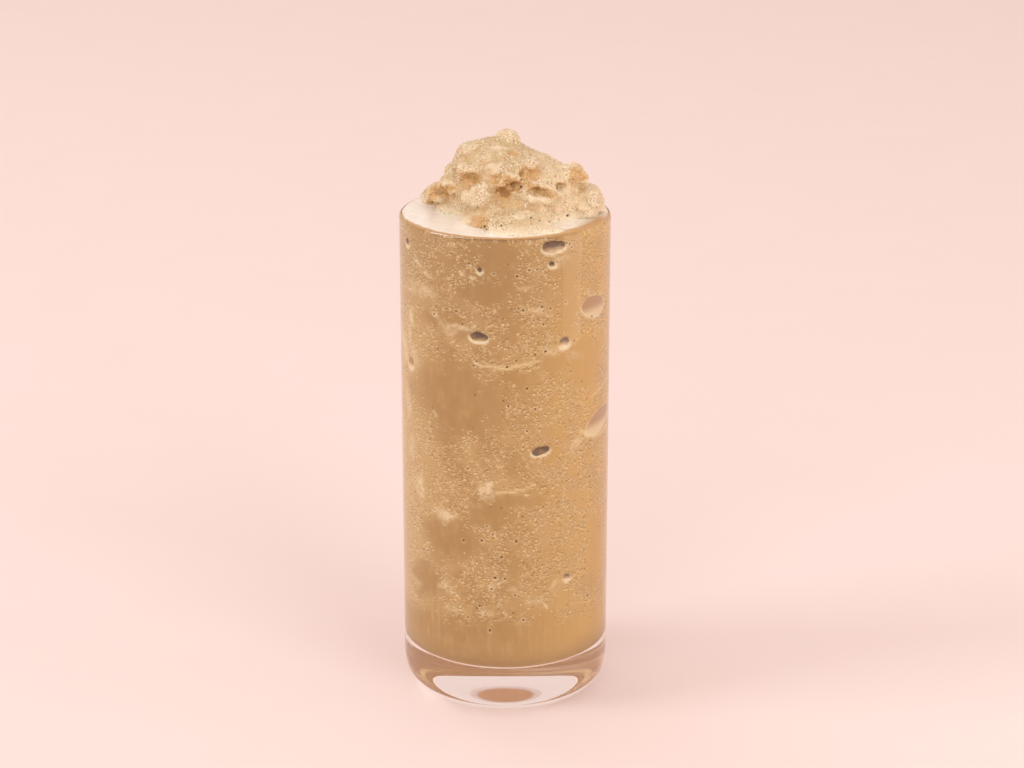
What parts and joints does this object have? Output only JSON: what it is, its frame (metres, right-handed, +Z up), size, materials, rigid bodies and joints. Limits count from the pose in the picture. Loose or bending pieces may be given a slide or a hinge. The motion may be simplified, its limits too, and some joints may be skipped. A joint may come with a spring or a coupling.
{
  "type": "glass of coffee smoothie",
  "caption": "Straight highball glass on a thick domed base, filled to the brim with coffee smoothie and topped with a heap of icy slush.",
  "frame": {"origin": "middle of the underside, on the plane where the glass stands", "axes": "+Z up along the glass's axis, -Y towards the viewer, +X to the viewer's right"},
  "size_m": [0.065, 0.065, 0.1817],
  "materials": {
    "clear_glass": "polished",
    "coffee_smoothie": "wet",
    "coffee_slush": "icy, matt"
  },
  "bodies": {
    "root": {"glass": "clear_glass", "smoothie": "coffee_smoothie", "slush_mound": "coffee_slush"}
  },
  "joints": []
}
